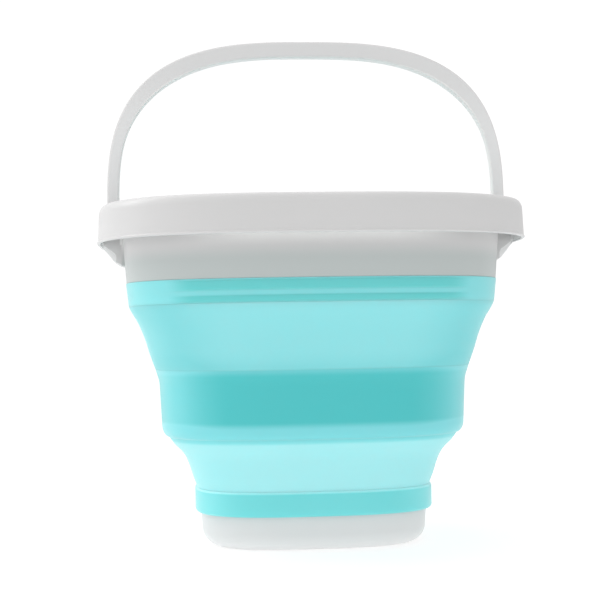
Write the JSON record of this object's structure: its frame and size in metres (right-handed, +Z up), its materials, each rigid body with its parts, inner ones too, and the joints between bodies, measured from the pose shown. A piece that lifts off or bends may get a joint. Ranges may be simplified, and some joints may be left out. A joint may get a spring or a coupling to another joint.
{
  "type": "collapsible camp bucket",
  "caption": "Collapsible bucket: hard rim and base, soft body with stiff bands and fold walls that telescope flat, and a bail that nests in the rim.",
  "frame": {"origin": "on the floor, under the middle of the bucket's bounding box, standing open with the bail upright", "axes": "+Z up through the bucket, +X the long way of the rim towards one bail hinge, +Y the short way"},
  "size_m": [0.3112, 0.2662, 0.3718],
  "materials": {
    "grey_plastic": "satin moulded",
    "aqua_rubber": "smooth satin",
    "pale_aqua_rubber": "smooth, slightly translucent"
  },
  "bodies": {
    "base": {"base_tray": "grey_plastic", "lower_band": "aqua_rubber", "lower_fold_wall": "pale_aqua_rubber"},
    "middle": {"middle_band": "aqua_rubber", "upper_fold_wall": "pale_aqua_rubber"},
    "rim": {"rim_frame": "grey_plastic", "top_band": "aqua_rubber"},
    "bail": {"bail_handle": "grey_plastic"}
  },
  "joints": [
    {"name": "lower_fold", "type": "slide", "parent": "base", "child": "middle", "axis": [0, 0, -1], "range_m": [0, 0.078], "deforming": ["lower_fold_wall"]},
    {"name": "upper_fold", "type": "slide", "parent": "middle", "child": "rim", "axis": [0, 0, -1], "range_m": [0, 0.0945], "deforming": ["upper_fold_wall"]},
    {"name": "bail_swing", "type": "hinge", "parent": "rim", "child": "bail", "pos_m": [0, 0, 0.2455], "axis": [1, 0, 0], "range_deg": [-90, 90]}
  ]
}
